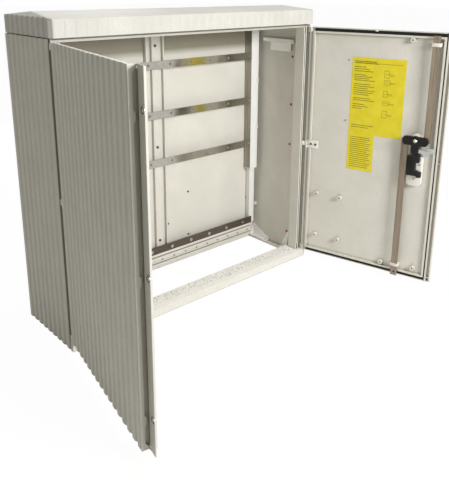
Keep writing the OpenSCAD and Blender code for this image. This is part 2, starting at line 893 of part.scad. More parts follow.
// Right-hand door: two ridges and a rim along its free edge, and the bore for the lock
module right_door() {
    door_h = door_z1 - door_z0;
    color(shell_grey)
    on_right_door()
        difference() {
            union() {
                door_body();
                translate([door_w - rim_w, 0, door_z0])
                    cube([rim_w, rim_t, door_z1 - door_z0]);
                translate([door_w - guard_in - guard_w, panel_t - bite, door_z0])
                    cube([guard_w, guard_t - panel_t + bite, door_z1 - door_z0]);
                translate([door_w - ridge_free - ridge_w, panel_t - bite, door_z0 + ridge_edge])
                    cube([ridge_w, ridge_t - panel_t + bite, door_z1 - door_z0 - 2 * ridge_edge]);
                for (z = [door_z0 + 16, door_mid, door_z1 - 16 - rim_w])
                    translate([door_w - guard_in - bite, panel_t - bite, z])
                        cube([guard_in - rim_w + 2 * bite, rim_t - panel_t, rim_w]);
            }
            translate([lock_u, -bite, lock_z])
                rotate([-90, 0, 0]) cylinder(r = spindle_r + 2, h = panel_t + 2 * bite);
            for (span = [
                [rim_w, 16], [16 + rim_w, door_h / 2], [door_h / 2 + rim_w, door_h - 16 - rim_w],
                [door_h - 16, door_h - rim_w]
            ])
                translate([door_w - guard_in, panel_t - guard_groove, door_z0 + span[0]])
                    cube([guard_in - rim_w, guard_t, span[1] - span[0]]);
        }
}

// Hinge leaf: a plate on the door with two eyes above and below the wall's eye
module leaf_shape() {
    eye_z = mid_eye_half + eye_gap;
    eye_len = mid_hinge_h / 2 - eye_z;
    difference() {
        union() {
            translate([leaf_root, panel_t, door_mid - mid_hinge_h / 2])
                cube([leaf_reach - leaf_root, leaf_t, mid_hinge_h]);
            for (z = [door_mid - mid_hinge_h / 2, door_mid + eye_z])
                translate([bead_r, 0, z]) {
                    translate([0, bead_r, 0]) cylinder(r = bead_r, h = eye_len);
                    translate([0, panel_t, 0]) cube([bead_clear, leaf_t, eye_len]);
                }
        }
        translate([bead_r, bead_r, door_mid - mid_hinge_h])
            cylinder(r = pin_bore, h = 2 * mid_hinge_h);
    }
}

module left_hinge_leaf() { color(cream) on_left_door() leaf_shape(); }

module right_hinge_leaf() { color(cream) on_right_door() leaf_shape(); }

module leaf_heads() {
    for (u = leaf_screw_u)
        translate([u, panel_t + leaf_t, door_mid]) mirror([0, 1, 0]) front_head(4.5, 2.4);
}

module left_leaf_screws() { color(steel_grey) on_left_door() leaf_heads(); }

module right_leaf_screws() { color(steel_grey) on_right_door() leaf_heads(); }

// Seal strips in the grooves along a door's top and bottom edges
module seal_shape(strip_w) {
    strip_h = ridge_edge - rim_w - 2 * fit;
    for (z = [door_z0 + rim_w + fit, door_z1 - rim_w - fit - strip_h])
        translate([ridge_hinge + 4, panel_t, z])
            difference() {
                cube([strip_w, seal_t, strip_h]);
                translate([-bite, seal_t - 2, strip_h / 3])
                    cube([strip_w - 3 * bite, 3, strip_h / 3]);
            }
}

module left_door_seal() {
    color(lock_black)
    on_left_door() seal_shape(door_w - 2 * ridge_hinge - ridge_free);
}

// The right-hand door's seal also runs down its free edge, between the ridge and the guard
module right_door_seal() {
    edge_u = door_w - ridge_free + fit;
    edge_w = ridge_free - guard_in - guard_w - 2 * fit;
    color(lock_black)
    on_right_door() {
        seal_shape(edge_u + bite - ridge_hinge - 4);
        translate([edge_u, panel_t, door_z0 + rim_w + fit])
            cube([edge_w, seal_t, door_z1 - door_z0 - 2 * (rim_w + fit)]);
    }
}

// Instruction sheets on the inner face of the right-hand door
module instruction_sheet() {
    color(sheet_yellow)
    on_right_door()
        on_face(panel_t, sheet_t)
            translate([sheet_u, sheet_top - sheet_h]) square([sheet_w, sheet_h]);
}

module instruction_card() {
    color(sheet_yellow)
    on_right_door()
        on_face(panel_t, sheet_t)
            translate([sheet_u, sheet_top - sheet_h - card_h]) square([card_w, card_h]);
}

// A driven pin moves evenly with the turn, so in the rotor it goes outwards and a little sideways
cam_steps = 12;
half_rad = lock_half * PI / 180;
cam_far = cam_arm * (cos(lock_half) + half_rad * sin(lock_half));
cam_drift = cam_arm * (sin(lock_half) - half_rad * cos(lock_half));
cam_half = cam_pin_r + cam_fit + cam_drift;
drive_pin_h = rotor_layer - rod_layer - rod_t + rotor_t - cam_floor - fit;

// Slot along an arm with round ends, wide enough for that drift
module cam_slot() {
    polygon(concat(
        arc([cam_far, 0], cam_half, -90, 90, cam_steps), arc([cam_arm, 0], cam_half, 90, 270, cam_steps)
    ));
}

// Arm from the rotor's centre, with a rounded end
rotor_reach = cam_far + cam_half + cam_wall;
module rotor_arm(half, r) {
    end = rotor_reach - r;
    side = half - r;
    polygon(concat(
        [[0, -half]], arc([end, -side], r, -90, 0), arc([end, side], r, 0, 90), [[0, half]]
    ));
}

// Directions of the rotor's lobes: upper rod, lower rod and latch bolt
lobe_turns = [0, 180, -90];

// Rotor: a plate with three lobes, each slotted behind so that its pin moves evenly with the turn
module lock_rotor() {
    color(lock_black)
    on_right_door()
        translate([lock_u, 0, lock_z])
            difference() {
                on_face(rotor_layer, rotor_t)
                    union() {
                        circle(r = hub_r);
                        for (a = [lobe_turns[0], lobe_turns[1]])
                            rotate(a) rotor_arm(lobe_half, lobe_round);
                        rotate(lobe_turns[2]) rotor_arm(stem_half, stem_round);
                    }
                on_face(rotor_layer - bite, rotor_t - cam_floor + bite)
                    for (a = lobe_turns)
                        rotate(a) cam_slot();
                on_face(rotor_layer - bite, rotor_t + 2 * bite)
                    square(spindle_flat + 2 * spindle_fit, center = true);
            }
}

// Spindle: round in the lock's base, square in the rotor and in the handle
module lock_spindle() {
    round_from = panel_t - skin - rib_depth - plate_t;
    round_to = rotor_layer;
    square_from = round_from - handle_t + 2;
    color(steel_grey)
    on_right_door()
        translate([lock_u, 0, lock_z]) {
            translate([0, round_from, 0])
                rotate([-90, 0, 0]) cylinder(r = spindle_r, h = round_to - round_from);
            on_face(square_from, rotor_layer + rotor_t - square_from)
                square(spindle_flat, center = true);
        }
}

// Screw that holds the rotor on the spindle
module spindle_screw() {
    color(steel_grey)
    on_right_door()
        translate([lock_u, rotor_layer + rotor_t, lock_z])
            mirror([0, 1, 0]) front_head(7, 4);
}

// Handle: a lever with a round head and a round end, half turned from its locked place
module lock_handle() {
    color(lock_black)
    on_right_door()
        on_face(-plate_t - handle_t, handle_t)
            translate([lock_u, lock_z])
                rotate(-90 - lock_half)
                    difference() {
                        union() {
                            circle(r = handle_w * 0.75);
                            translate([0, -handle_w / 2]) square([handle_len, handle_w]);
                            translate([handle_len, 0]) circle(r = handle_w / 2);
                        }
                        rotate(lock_half + 90) square(spindle_flat + 2 * spindle_fit, center = true);
                    }
}

// Plate under the handle, on the tops of the door's ribs
module handle_plate() {
    color(lock_black)
    on_right_door()
        on_face(-plate_t, plate_t)
            translate([lock_u, lock_z])
                difference() {
                    circle(r = plate_r);
                    circle(r = spindle_r + spindle_fit);
                }
}

// Lock base: a moulded block on the door that the spindle turns in
module lock_base() {
    base_u = 24;
    base_side = 30;
    base_round = 14;
    base_t = rod_layer - fit - panel_t;
    shoulder = rotor_reach + base_round;
    color(cream)
    on_right_door()
        on_face(panel_t, base_t)
            translate([lock_u, lock_z])
                difference() {
                    polygon(concat(
                        arc([0, 0], base_u, 0, 180, cam_steps),
                        arc([base_round - base_u, base_round - base_drop], base_round, 180, 270),
                        arc([base_side - base_round, base_round - base_drop], base_round, 270, 360),
                        [[base_side, -shoulder], [base_u, base_side - base_u - shoulder]]
                    ));
                    circle(r = spindle_r + spindle_fit);
                }
}

// Lock case: a black housing with a notch on its free side and a longer foot below it
module lock_case() {
    case_top = lock_z - cam_arm - latch_low - 2;
    case_w = 46;
    foot_w = 8;
    notch_h = case_h * 0.4;
    color(lock_black)
    on_right_door()
        on_face(rod_layer - fit, 17)
            translate([lock_u - 23, case_top - case_h])
                polygon([
                    [0, 0], [case_w - foot_w, 0], [case_w - foot_w, -foot_w / 2],
                    [case_w + foot_w, -foot_w / 2],
                    [case_w + foot_w, case_h * 0.2], [case_w * 0.7, case_h * 0.28],
                    [case_w * 0.7, case_h * 0.28 + notch_h], [case_w, case_h * 0.28 + notch_h],
                    [case_w, case_h], [0, case_h]
                ]);
}

// Flat rod with a driving pin: from the pin at one end to its tip
module flat_rod(side, tip) {
    rod_u = lock_u + side * rod_spread / 2;
    pin_u = lock_u + side * cam_arm;
    low = min(tip, lock_z - rod_foot);
    high = max(tip, lock_z + rod_foot);
    on_face(rod_layer, rod_t)
        difference() {
            translate([rod_u - rod_half, low]) square([rod_w, high - low]);
            translate([rod_u, tip + (tip > lock_z ? -14 : 14)]) circle(r = 4);
        }
    translate([pin_u, rod_layer + rod_t - bite, lock_z])
        rotate([-90, 0, 0]) cylinder(r = cam_pin_r, h = drive_pin_h + bite);
}

module upper_rod() { color(rod_brown) on_right_door() flat_rod(1, upper_rod_end); }

module lower_rod() { color(rod_brown) on_right_door() flat_rod(-1, lower_rod_end); }

// Latch bolt: slides behind the left-hand door's lip
module latch_bolt() {
    bolt_z = lock_z - cam_arm;
    bolt_u = lock_u - 10;
    nose = latch_h / 4;
    color(steel_grey)
    on_right_door() {
        on_face(rod_layer, rod_t)
            polygon([
                [bolt_u, bolt_z - latch_low], [latch_end - 3 * nose, bolt_z - latch_low],
                [latch_end - 2 * nose, bolt_z - nose], [latch_end, bolt_z - nose],
                [latch_end, bolt_z], [latch_end - nose, bolt_z + latch_up], [bolt_u, bolt_z + latch_up]
            ]);
        translate([lock_u, rod_layer + rod_t - bite, bolt_z])
            rotate([-90, 0, 0]) cylinder(r = cam_pin_r, h = drive_pin_h + bite);
    }
}

// Rod guides: a loop round each rod near its tip, on a foot
module guide_shape(rod_u, z) {
    guide_fit = 0.4;
    cheek = 3;
    inner = rod_half + guide_fit;
    translate([rod_u, 0, z])
        linear_extrude(guide_h)
            difference() {
                translate([-inner - cheek, panel_t])
                    square([2 * (inner + cheek), rod_layer + rod_t + guide_fit + cheek - panel_t]);
                translate([-inner, rod_layer - guide_fit]) square([2 * inner, rod_t + 2 * guide_fit]);
            }
}

module rod_guides() {
    color(cream)
    on_right_door() {
        guide_shape(lock_u + rod_spread / 2, upper_rod_end - guide_up);
        guide_shape(lock_u - rod_spread / 2, lower_rod_end + guide_down);
    }
}

front_sill();
left_side_wall();
right_side_wall();
left_rear_panel();
right_rear_panel();
centre_post();
roof();
top_front_rail();
top_rear_rail();
rear_beam();
left_upright();
right_upright();
left_rail_angle();
right_rail_angle();
upper_mounting_rail();
middle_mounting_rail();
lower_mounting_rail();
cable_rail();
front_gussets();
rear_gussets();
roof_straps();
wall_inserts();
rail_screws();
post_screws();
left_hinge_brackets();
right_hinge_brackets();
left_hinge_pins();
right_hinge_pins();
left_door();
left_hinge_leaf();
left_leaf_screws();
left_door_seal();
keeper_studs();
right_door();
right_hinge_leaf();
right_leaf_screws();
right_door_seal();
instruction_sheet();
instruction_card();
lock_base();
lock_case();
rod_guides();
handle_plate();
lock_rotor();
lock_spindle();
spindle_screw();
lock_handle();
upper_rod();
lower_rod();
latch_bolt();
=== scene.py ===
"""Looks of an outdoor cable distribution cabinet: materials, small fittings, light and camera."""
import json
import math

import bmesh
import bpy
from mathutils import Euler, Matrix, Vector


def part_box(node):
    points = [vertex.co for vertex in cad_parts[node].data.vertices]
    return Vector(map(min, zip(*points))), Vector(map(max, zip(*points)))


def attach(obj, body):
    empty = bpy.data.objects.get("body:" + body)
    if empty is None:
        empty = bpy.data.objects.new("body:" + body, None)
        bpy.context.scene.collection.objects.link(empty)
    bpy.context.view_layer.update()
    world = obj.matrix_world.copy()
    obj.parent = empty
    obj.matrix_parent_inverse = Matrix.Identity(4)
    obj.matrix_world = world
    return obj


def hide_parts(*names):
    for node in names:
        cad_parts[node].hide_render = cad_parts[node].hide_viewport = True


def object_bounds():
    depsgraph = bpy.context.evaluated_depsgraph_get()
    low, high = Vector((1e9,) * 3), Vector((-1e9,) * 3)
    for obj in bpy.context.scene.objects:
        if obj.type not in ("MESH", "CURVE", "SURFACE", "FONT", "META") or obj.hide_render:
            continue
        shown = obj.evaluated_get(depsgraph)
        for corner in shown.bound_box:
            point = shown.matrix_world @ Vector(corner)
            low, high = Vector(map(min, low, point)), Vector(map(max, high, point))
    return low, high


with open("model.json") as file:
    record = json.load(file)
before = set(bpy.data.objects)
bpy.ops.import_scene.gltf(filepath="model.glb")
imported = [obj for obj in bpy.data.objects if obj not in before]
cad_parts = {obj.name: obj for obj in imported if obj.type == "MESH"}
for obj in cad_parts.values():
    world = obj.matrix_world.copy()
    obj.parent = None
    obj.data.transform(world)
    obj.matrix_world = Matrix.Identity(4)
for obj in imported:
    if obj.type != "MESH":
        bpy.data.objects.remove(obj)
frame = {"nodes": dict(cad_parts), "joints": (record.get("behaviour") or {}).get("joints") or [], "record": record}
cad_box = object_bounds()

MM = 0.001

# Picture: frame of the photograph, and the lens and stand that give its view
PICTURE_W, PICTURE_H = 449, 480
SENSOR_MM = 36.0
FOCAL_PX = 607.0
CENTRE_PX = (224.5, 158.4)
CAMERA_AT_MM = (-1332.1, -1747.3, 1135.6)
CAMERA_YAW, CAMERA_PITCH, CAMERA_ROLL = 41.81, -15.96, 0.29


def box_mm(node):
    """Low and high corner of a CAD node, in millimetres."""
    return [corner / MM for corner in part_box(node)]


# Solids that finishes and fittings follow, in millimetres
PANEL_Y = box_mm("left_rear_panel")[0].y
WALL_FRONT_Y = box_mm("left_side_wall")[0].y
WALL_X = 549.0  # inner face of the side walls
WALL_SKIN_X = 551.0  # just behind that face
DOOR_BEAD_R = 6.0
DOOR_SKIN_T = 8.5
LEAF_T = 3.0

# Marks drawn into a finish, in millimetres: where they lie, and how far they take to fade. The joint line and the
# # band under the roof are painted shade.
FACE_D, EDGE_FADE = 1.0, 2.0
JOINT_W, JOINT_FADE = 6.0, 1.5
HOOD_Z, HOOD_FADE = 899.0, 26.0
TREAD_INSET = 28.0
STUD_STEP, FLUTE_STEP = 9, 10

# Printed sheets on the right-hand door, in millimetres. Rows: distance from the top, length.
# Fields: distance from the top, width, height. Lines out of a field: start, share of its height, added length
SHEET_U, SHEET_TOP, SHEET_H = 187.0, 874.0, 297.0
SHEET_T, INK_T = 0.6, 0.12
SHEET_MARGIN, FIELD_U = 10, 130
HEADING_H, TEXT_H, FRAME_H, FINE_H = 3.4, 2.4, 1.4, 1.2
HEADING_ROWS = ((15, 88), (21, 96))
TEXT_ROWS = (
    (36, 46), (44, 60), (52, 76), (66, 50), (73, 74), (80, 62), (87, 84), (102, 66), (110, 82), (118, 58),
    (126, 84), (134, 78), (142, 62), (156, 72), (164, 86), (180, 48), (188, 62), (196, 38), (262, 88),
    (270, 70))
RULE_U, RULE_Z, RULE_W = 108, 20, 90
FIELDS = ((44, 18, 26), (80, 24, 16), (120, 16, 22), (160, 24, 14), (196, 18, 26))
FIELD_LINES = ((4, 0.5, 14), (20, 0.7, 0))
CARD_ROWS, CARD_STEP, CARD_TOP, CARD_MARGIN, CARD_TEXT_H = 16, 8, 14, 9, 2.2
CARD_WIDTHS = (78, 84, 70, 86, 80)

# Places of small fittings, in millimetres: pairs are x and z on a panel, u and z on a door, y and z on a wall
PANEL_SCREWS = ((160, 302), (54, 185), (159, 111), (497, 199))
RAIL_SCREW_R = 4.5
LEAF_SCREWS_U = (28, 48)
BEAM_GROOVE_D, BEAM_RIVETS_Z = 2.0, 53.5
BEAM_RIVETS_X = range(-480, 481, 60)
CABLE_RAIL_X = range(-450, 451, 100)
SHEET_RIVETS = ((172, 861), (172, 624))
LOCK_BASE_SCREWS = ((483, 498), (464, 440))
WALL_CLIPS = ((136, 163), (-90, 158))
EDGE_CLIP_AT = (277, 975.5)
HOOKS_Z, HOOK_INSET = (740, 534), 6
KEEPERS_Z = (133.6, 505.8, 887.0)

# Studio, in metres and watts: lamps as name, place, target, size and power
FLOOR_SIZE, FLOOR_GLOW, FLOOR_GLOW_SHARE = 60, 1.02, 0.95
SKY_LIGHT = 0.218
LAMPS = (
    ("front_softbox", (0.25, -2.7, 1.5), (0.1, 0.0, 0.5), 0.9, 64),
    ("top_softbox", (0.0, -0.3, 3.6), (0.0, 0.0, 0.9), 1.8, 34),
    ("rear_softbox", (1.3, 2.9, 1.1), (0.1, 0.1, 0.6), 1.4, 34))


# Frames: a matrix whose columns are the three axes and the origin of a wall or door
def facing(first, second, third, at=(0, 0, 0)):
    """Matrix that carries the three axes to the given directions and the origin to a place."""
    matrix = Matrix.Identity(4)
    for column, axis in enumerate((first, second, third, at)):
        for row in range(3):
            matrix[row][column] = axis[row]
    return matrix


def door_frame(joint, side):
    """Matrix from a door's u, z and t, in millimetres, to the shared frame in metres.

    u runs from the hinge edge, z up and t inwards.
    """
    hinge = next(j for j in frame["joints"] if j["name"] == joint)
    opened = math.radians(-hinge["range_deg"][0])
    along = Vector((-side * math.cos(opened), -math.sin(opened), 0))
    inward = Vector((-side * math.sin(opened), math.cos(opened), 0))
    corner = Vector(hinge["pos_m"]) - DOOR_BEAD_R * MM * (along + inward)
    corner.z = 0
    return facing(along * MM, (0, 0, MM), inward * MM, corner)


RIGHT_DOOR = door_frame("right_door_hinge", 1)
LEFT_DOOR = door_frame("left_door_hinge", -1)
CABINET = Matrix.Scale(MM, 4)
TO_FRONT = facing((1, 0, 0), (0, 0, 1), (0, -1, 0))
FROM_RIGHT_WALL = facing((0, 1, 0), (0, 0, 1), (-1, 0, 0))
FROM_LEFT_WALL = facing((0, 1, 0), (0, 0, 1), (1, 0, 0))
OUT_OF_DOOR = facing((1, 0, 0), (0, 1, 0), (0, 0, -1))


# Shader helpers
def colour(code):
    """Linear colour of an sRGB hex code."""
    parts = [int(code[i:i + 2], 16) / 255 for i in (1, 3, 5)]
    return [c / 12.92 if c <= 0.04045 else ((c + 0.055) / 1.055) ** 2.4 for c in parts] + [1.0]


def add(tree, kind, inputs=None, out=None, stops=(), **settings):
    """Adds a shader node, sets it up, fills its sockets with values or links, and gives one output.

    The output is the one that out names, or else the first. Stops are a ramp's places, each with a hex code
    or a grey value.
    """
    node = tree.nodes.new("ShaderNode" + kind)
    for name, value in settings.items():
        setattr(node, name, value)
    for name, value in (inputs or {}).items():
        socket = next((i for i in node.inputs if i.name == name and i.enabled), None) or node.inputs[name]
        if isinstance(value, bpy.types.NodeSocket):
            tree.links.new(value, socket)
        else:
            socket.default_value = value
    for _ in stops[2:]:
        node.color_ramp.elements.new(0.5)
    for i, (at, shade) in enumerate(stops):
        node.color_ramp.elements[i].position = at
        node.color_ramp.elements[i].color = colour(shade) if isinstance(shade, str) else [shade] * 3 + [1.0]
    return node.outputs[out] if out else next((o for o in node.outputs if o.enabled), None)


def new_material(name):
    """An empty material with its tree and Object coordinates."""
    material = bpy.data.materials.new(name)
    material.use_nodes = True
    tree = material.node_tree
    tree.nodes.clear()
    return material, tree, add(tree, "TexCoord", out="Object")


def per_mm(size):
    """Texture scale for features of a size in millimetres, on coordinates in metres."""
    return 1 / (size * MM)


def tinted(tree, shade, zone, tint):
    """Multiplies a colour by a tint inside a zone, which is a value from 0 to 1."""
    stain = add(tree, "ValToRGB", {"Fac": zone}, stops=[(0.0, "#ffffff"), (1.0, tint)])
    return add(tree, "Mix", {"Factor": 1.0, "A": shade, "B": stain}, data_type="RGBA", blend_type="MULTIPLY")


def in_corners(tree, shade, reach):
    """Painted shade: darkens a colour near joints and inner corners, where other surfaces lie within reach."""
    open_sky = add(tree, "AmbientOcclusion", {"Distance": reach * MM}, out="AO", samples=12)
    corner_shade = add(tree, "ValToRGB", {"Fac": open_sky}, stops=[
        (0.12, "#5d594c"), (0.6, "#efede8"), (0.92, "#ffffff")])
    return add(tree, "Mix", {"Factor": 1.0, "A": shade, "B": corner_shade}, data_type="RGBA", blend_type="MULTIPLY")


# Marks that one moulding shows besides its finish: painted shade at the door joint and under the roof, and the
# # sill's worn studs and flutes, with painted shade on its front. Each gives the new colour and normal
WAVE_REPEAT = 0.314  # length after which a wave texture of scale 1 repeats


def painted_joint_shade(tree, place, shade, normal):
    """Painted shade: a dark line along a side wall's outer front edge, where the joint with the door lies in
    shade.
    """
    x = add(tree, "SeparateXYZ", {"Vector": place}, out="X")
    y = add(tree, "SeparateXYZ", {"Vector": place}, out="Y")
    aside = add(tree, "Math", {0: x}, operation="ABSOLUTE")
    outside = add(tree, "MapRange", {
        "Value": aside, "From Min": (WALL_SKIN_X - FACE_D / 2) * MM,
        "From Max": (WALL_SKIN_X + FACE_D / 2) * MM})
    line_end = WALL_FRONT_Y + JOINT_W
    ahead = add(tree, "MapRange", {
        "Value": y, "From Min": (line_end + JOINT_FADE) * MM, "From Max": line_end * MM})
    line = add(tree, "Math", {0: outside, 1: ahead}, operation="MULTIPLY")
    return tinted(tree, shade, line, "#5f594c"), normal


def roof_shade(tree, place, shade, normal):
    """Painted shadow: a dark band on a rear panel's inner face, just under the roof."""
    y = add(tree, "SeparateXYZ", {"Vector": place}, out="Y")
    z = add(tree, "SeparateXYZ", {"Vector": place}, out="Z")
    above = add(tree, "MapRange", {
        "Value": z, "From Min": (HOOD_Z - HOOD_FADE) * MM, "From Max": HOOD_Z * MM})
    inside = add(tree, "MapRange", {
        "Value": y, "From Min": (PANEL_Y + FACE_D + EDGE_FADE) * MM, "From Max": (PANEL_Y + FACE_D) * MM})
    band = add(tree, "Math", {0: above, 1: inside}, operation="MULTIPLY")
    return tinted(tree, shade, band, "#a8a497"), normal


def sill_tread(tree, place, shade, normal):
    """Worn studs on the rear strip of the sill's top, and faint flutes on its front, which also darken the whole
    front against the top as painted shade.
    """
    low, high = box_mm("front_sill")
    tread_y = low.y + TREAD_INSET
    y = add(tree, "SeparateXYZ", {"Vector": place}, out="Y")
    z = add(tree, "SeparateXYZ", {"Vector": place}, out="Z")
    behind = add(tree, "MapRange", {
        "Value": y, "From Min": tread_y * MM, "From Max": (tread_y + EDGE_FADE) * MM})
    on_top = add(tree, "MapRange", {
        "Value": z, "From Min": (high.z - FACE_D) * MM, "From Max": (high.z - FACE_D / 2) * MM})
    strip = add(tree, "Math", {0: behind, 1: on_top}, operation="MULTIPLY")
    cells = add(tree, "TexVoronoi", {"Vector": place, "Scale": per_mm(STUD_STEP), "Randomness": 0.8})
    studs = add(tree, "ValToRGB", {"Fac": cells}, stops=[(0.2, 1.0), (0.3, 0.0)])
    raised = add(tree, "Math", {0: studs, 1: strip}, operation="MULTIPLY")
    worn = tinted(tree, shade, raised, "#a49d88")
    waves = add(tree, "TexWave", {
        "Vector": place, "Scale": WAVE_REPEAT * per_mm(FLUTE_STEP), "Distortion": 1.5, "Detail Scale": 0.4},
        out="Fac")
    # Flute lines, which also darken the whole front against the paler top: painted shade
    flutes = add(tree, "ValToRGB", {"Fac": waves}, stops=[(0.1, "#e3e2de"), (0.6, "#edece9")])
    front = add(tree, "Mix", {"Factor": on_top, "A": flutes, "B": colour("#ffffff")}, data_type="RGBA")
    shade = add(tree, "Mix", {"Factor": 1.0, "A": worn, "B": front}, data_type="RGBA", blend_type="MULTIPLY")
    normal = add(tree, "Bump", {"Height": raised, "Strength": 0.8, "Distance": 1.2 * MM, "Normal": normal})
    return shade, normal


# Materials
def moulded_glass_fibre(name, pale, bright, reach, marks=None):
    """Pressed glass-fibre polyester: satin, with a faint flow mottle and a fine skin.

    The strands are drawn at 6 mm, coarser than real ones, so that they show. Painted shade darkens it within the
    reach of an inner corner, in millimetres. Marks is a function that adds what only some mouldings show.
    """
    material, tree, place = new_material(name)
    flow = add(tree, "TexNoise", {"Vector": place, "Scale": per_mm(90), "Detail": 3.0})
    strands = add(tree, "TexNoise", {"Vector": place, "Scale": per_mm(6), "Detail": 4.0, "Roughness": 0.6})
    mottle = add(tree, "Math", {0: flow, 1: strands}, operation="MULTIPLY")
    shade = add(tree, "ValToRGB", {"Fac": mottle}, stops=[(0.12, pale), (0.42, bright)])
    gloss = add(tree, "ValToRGB", {"Fac": strands}, stops=[(0.3, 0.44), (0.7, 0.56)])
    normal = add(tree, "Bump", {"Height": strands, "Strength": 0.06, "Distance": 0.3 * MM})
    if marks:
        shade, normal = marks(tree, place, shade, normal)
    surface = add(tree, "BsdfPrincipled", {
        "Base Color": in_corners(tree, shade, reach), "Roughness": gloss, "IOR": 1.53, "Normal": normal})
    add(tree, "OutputMaterial", {"Surface": surface})
    return material


def white_painted_steel():
    """Powder-coated sheet: white, even, with a slight orange-peel skin, drawn coarse at 4 mm to show."""
    material, tree, place = new_material("white_painted_steel")
    peel = add(tree, "TexNoise", {"Vector": place, "Scale": per_mm(4), "Detail": 2.0})
    shade = add(tree, "ValToRGB", {"Fac": peel}, stops=[(0.3, "#e3e3df"), (0.7, "#ecece9")])
    skin = add(tree, "Bump", {"Height": peel, "Strength": 0.08, "Distance": 0.3 * MM})
    surface = add(tree, "BsdfPrincipled", {
        "Base Color": shade, "Roughness": 0.38, "IOR": 1.5, "Normal": skin})
    add(tree, "OutputMaterial", {"Surface": surface})
    return material


def galvanised_sheet():
    """Bright galvanised strip: a mirror-like metal with 9 mm spangle flakes and drawing lines along it."""
    material, tree, place = new_material("galvanised_sheet")
    spangle = add(tree, "TexVoronoi", {"Vector": place, "Scale": per_mm(9)}, out="Color")
    flake = add(tree, "SeparateColor", {"Color": spangle})
    shade = add(tree, "ValToRGB", {"Fac": flake}, stops=[(0.0, "#b0aca2"), (1.0, "#bab6ac")])
    stretch = add(tree, "Mapping", {"Vector": place, "Scale": (0.03, 1.0, 1.0)})
    lines = add(tree, "TexNoise", {"Vector": stretch, "Scale": per_mm(1.5), "Detail": 3.0})
    gloss = add(tree, "ValToRGB", {"Fac": lines}, stops=[(0.3, 0.07), (0.7, 0.15)])
    drawn = add(tree, "Bump", {"Height": lines, "Strength": 0.015, "Distance": 0.1 * MM})
    surface = add(tree, "BsdfPrincipled", {
        "Base Color": shade, "Metallic": 1.0, "Roughness": gloss, "Normal": drawn})
    add(tree, "OutputMaterial", {"Surface": surface})
    return material


def dark_bronze_rail():
    """Dark passivated profile: brown-black metal with soft lengthwise streaks."""
    material, tree, place = new_material("dark_bronze_rail")
    stretch = add(tree, "Mapping", {"Vector": place, "Scale": (0.04, 1.0, 1.0)})
    streaks = add(tree, "TexNoise", {"Vector": stretch, "Scale": per_mm(3), "Detail": 3.0})
    shade = add(tree, "ValToRGB", {"Fac": streaks}, stops=[(0.25, "#4b423a"), (0.75, "#6b5f54")])
    surface = add(tree, "BsdfPrincipled", {"Base Color": shade, "Metallic": 0.6, "Roughness": 0.42})
    add(tree, "OutputMaterial", {"Surface": surface})
    return material


def zinc_plate():
    """Zinc-plated fastener: bright grey metal with a light haze."""
    material, tree, place = new_material("zinc_plate")
    haze = add(tree, "TexNoise", {"Vector": place, "Scale": per_mm(3), "Detail": 3.0})
    shade = add(tree, "ValToRGB", {"Fac": haze}, stops=[(0.3, "#b4b4b2"), (0.7, "#cdcdca")])
    gloss = add(tree, "ValToRGB", {"Fac": haze}, stops=[(0.3, 0.22), (0.7, 0.38)])
    surface = add(tree, "BsdfPrincipled", {"Base Color": shade, "Metallic": 1.0, "Roughness": gloss})
    add(tree, "OutputMaterial", {"Surface": surface})
    return material


def shaded_zinc():
    """Galvanised angle in a darker grey-brown than the rails, as painted shade, with soft upright streaks."""
    material, tree, place = new_material("shaded_zinc")
    stretch = add(tree, "Mapping", {"Vector": place, "Scale": (1.0, 1.0, 0.02)})
    streaks = add(tree, "TexNoise", {"Vector": stretch, "Scale": per_mm(5), "Detail": 3.0})
    shade = add(tree, "ValToRGB", {"Fac": streaks}, stops=[(0.3, "#8a857b"), (0.7, "#b0aba0")])
    surface = add(tree, "BsdfPrincipled", {"Base Color": shade, "Metallic": 0.9, "Roughness": 0.3})
    add(tree, "OutputMaterial", {"Surface": surface})
    return material


def white_nylon():
    """Natural white nylon: glossy and faintly clouded."""
    material, tree, place = new_material("white_nylon")
    cloud = add(tree, "TexNoise", {"Vector": place, "Scale": per_mm(8), "Detail": 2.0})
    shade = add(tree, "ValToRGB", {"Fac": cloud}, stops=[(0.3, "#efeeea"), (0.7, "#f8f7f4")])
    surface = add(tree, "BsdfPrincipled", {"Base Color": shade, "Roughness": 0.28, "IOR": 1.53})
    add(tree, "OutputMaterial", {"Surface": surface})
    return material


def cream_moulding():
    """Injection-moulded cream plastic: smooth, with a slight satin grain, drawn coarse at 2 mm to show."""
    material, tree, place = new_material("cream_moulding")
    grain = add(tree, "TexNoise", {"Vector": place, "Scale": per_mm(2), "Detail": 3.0})
    shade = add(tree, "ValToRGB", {"Fac": grain}, stops=[(0.3, "#dedad2"), (0.7, "#e9e6e0")])
    skin = add(tree, "Bump", {"Height": grain, "Strength": 0.05, "Distance": 0.2 * MM})
    surface = add(tree, "BsdfPrincipled", {
        "Base Color": shade, "Roughness": 0.42, "IOR": 1.5, "Normal": skin})
    add(tree, "OutputMaterial", {"Surface": surface})
    return material


def copper_insert():
    """Pressed-in threaded insert: red-brown metal with a dull oxide bloom."""
    material, tree, place = new_material("copper_insert")
    bloom = add(tree, "TexNoise", {"Vector": place, "Scale": per_mm(2), "Detail": 2.0})
    shade = add(tree, "ValToRGB", {"Fac": bloom}, stops=[(0.3, "#8c3a26"), (0.7, "#b5543a")])
    surface = add(tree, "BsdfPrincipled", {"Base Color": shade, "Metallic": 0.4, "Roughness": 0.5})
    add(tree, "OutputMaterial", {"Surface": surface})
    return material


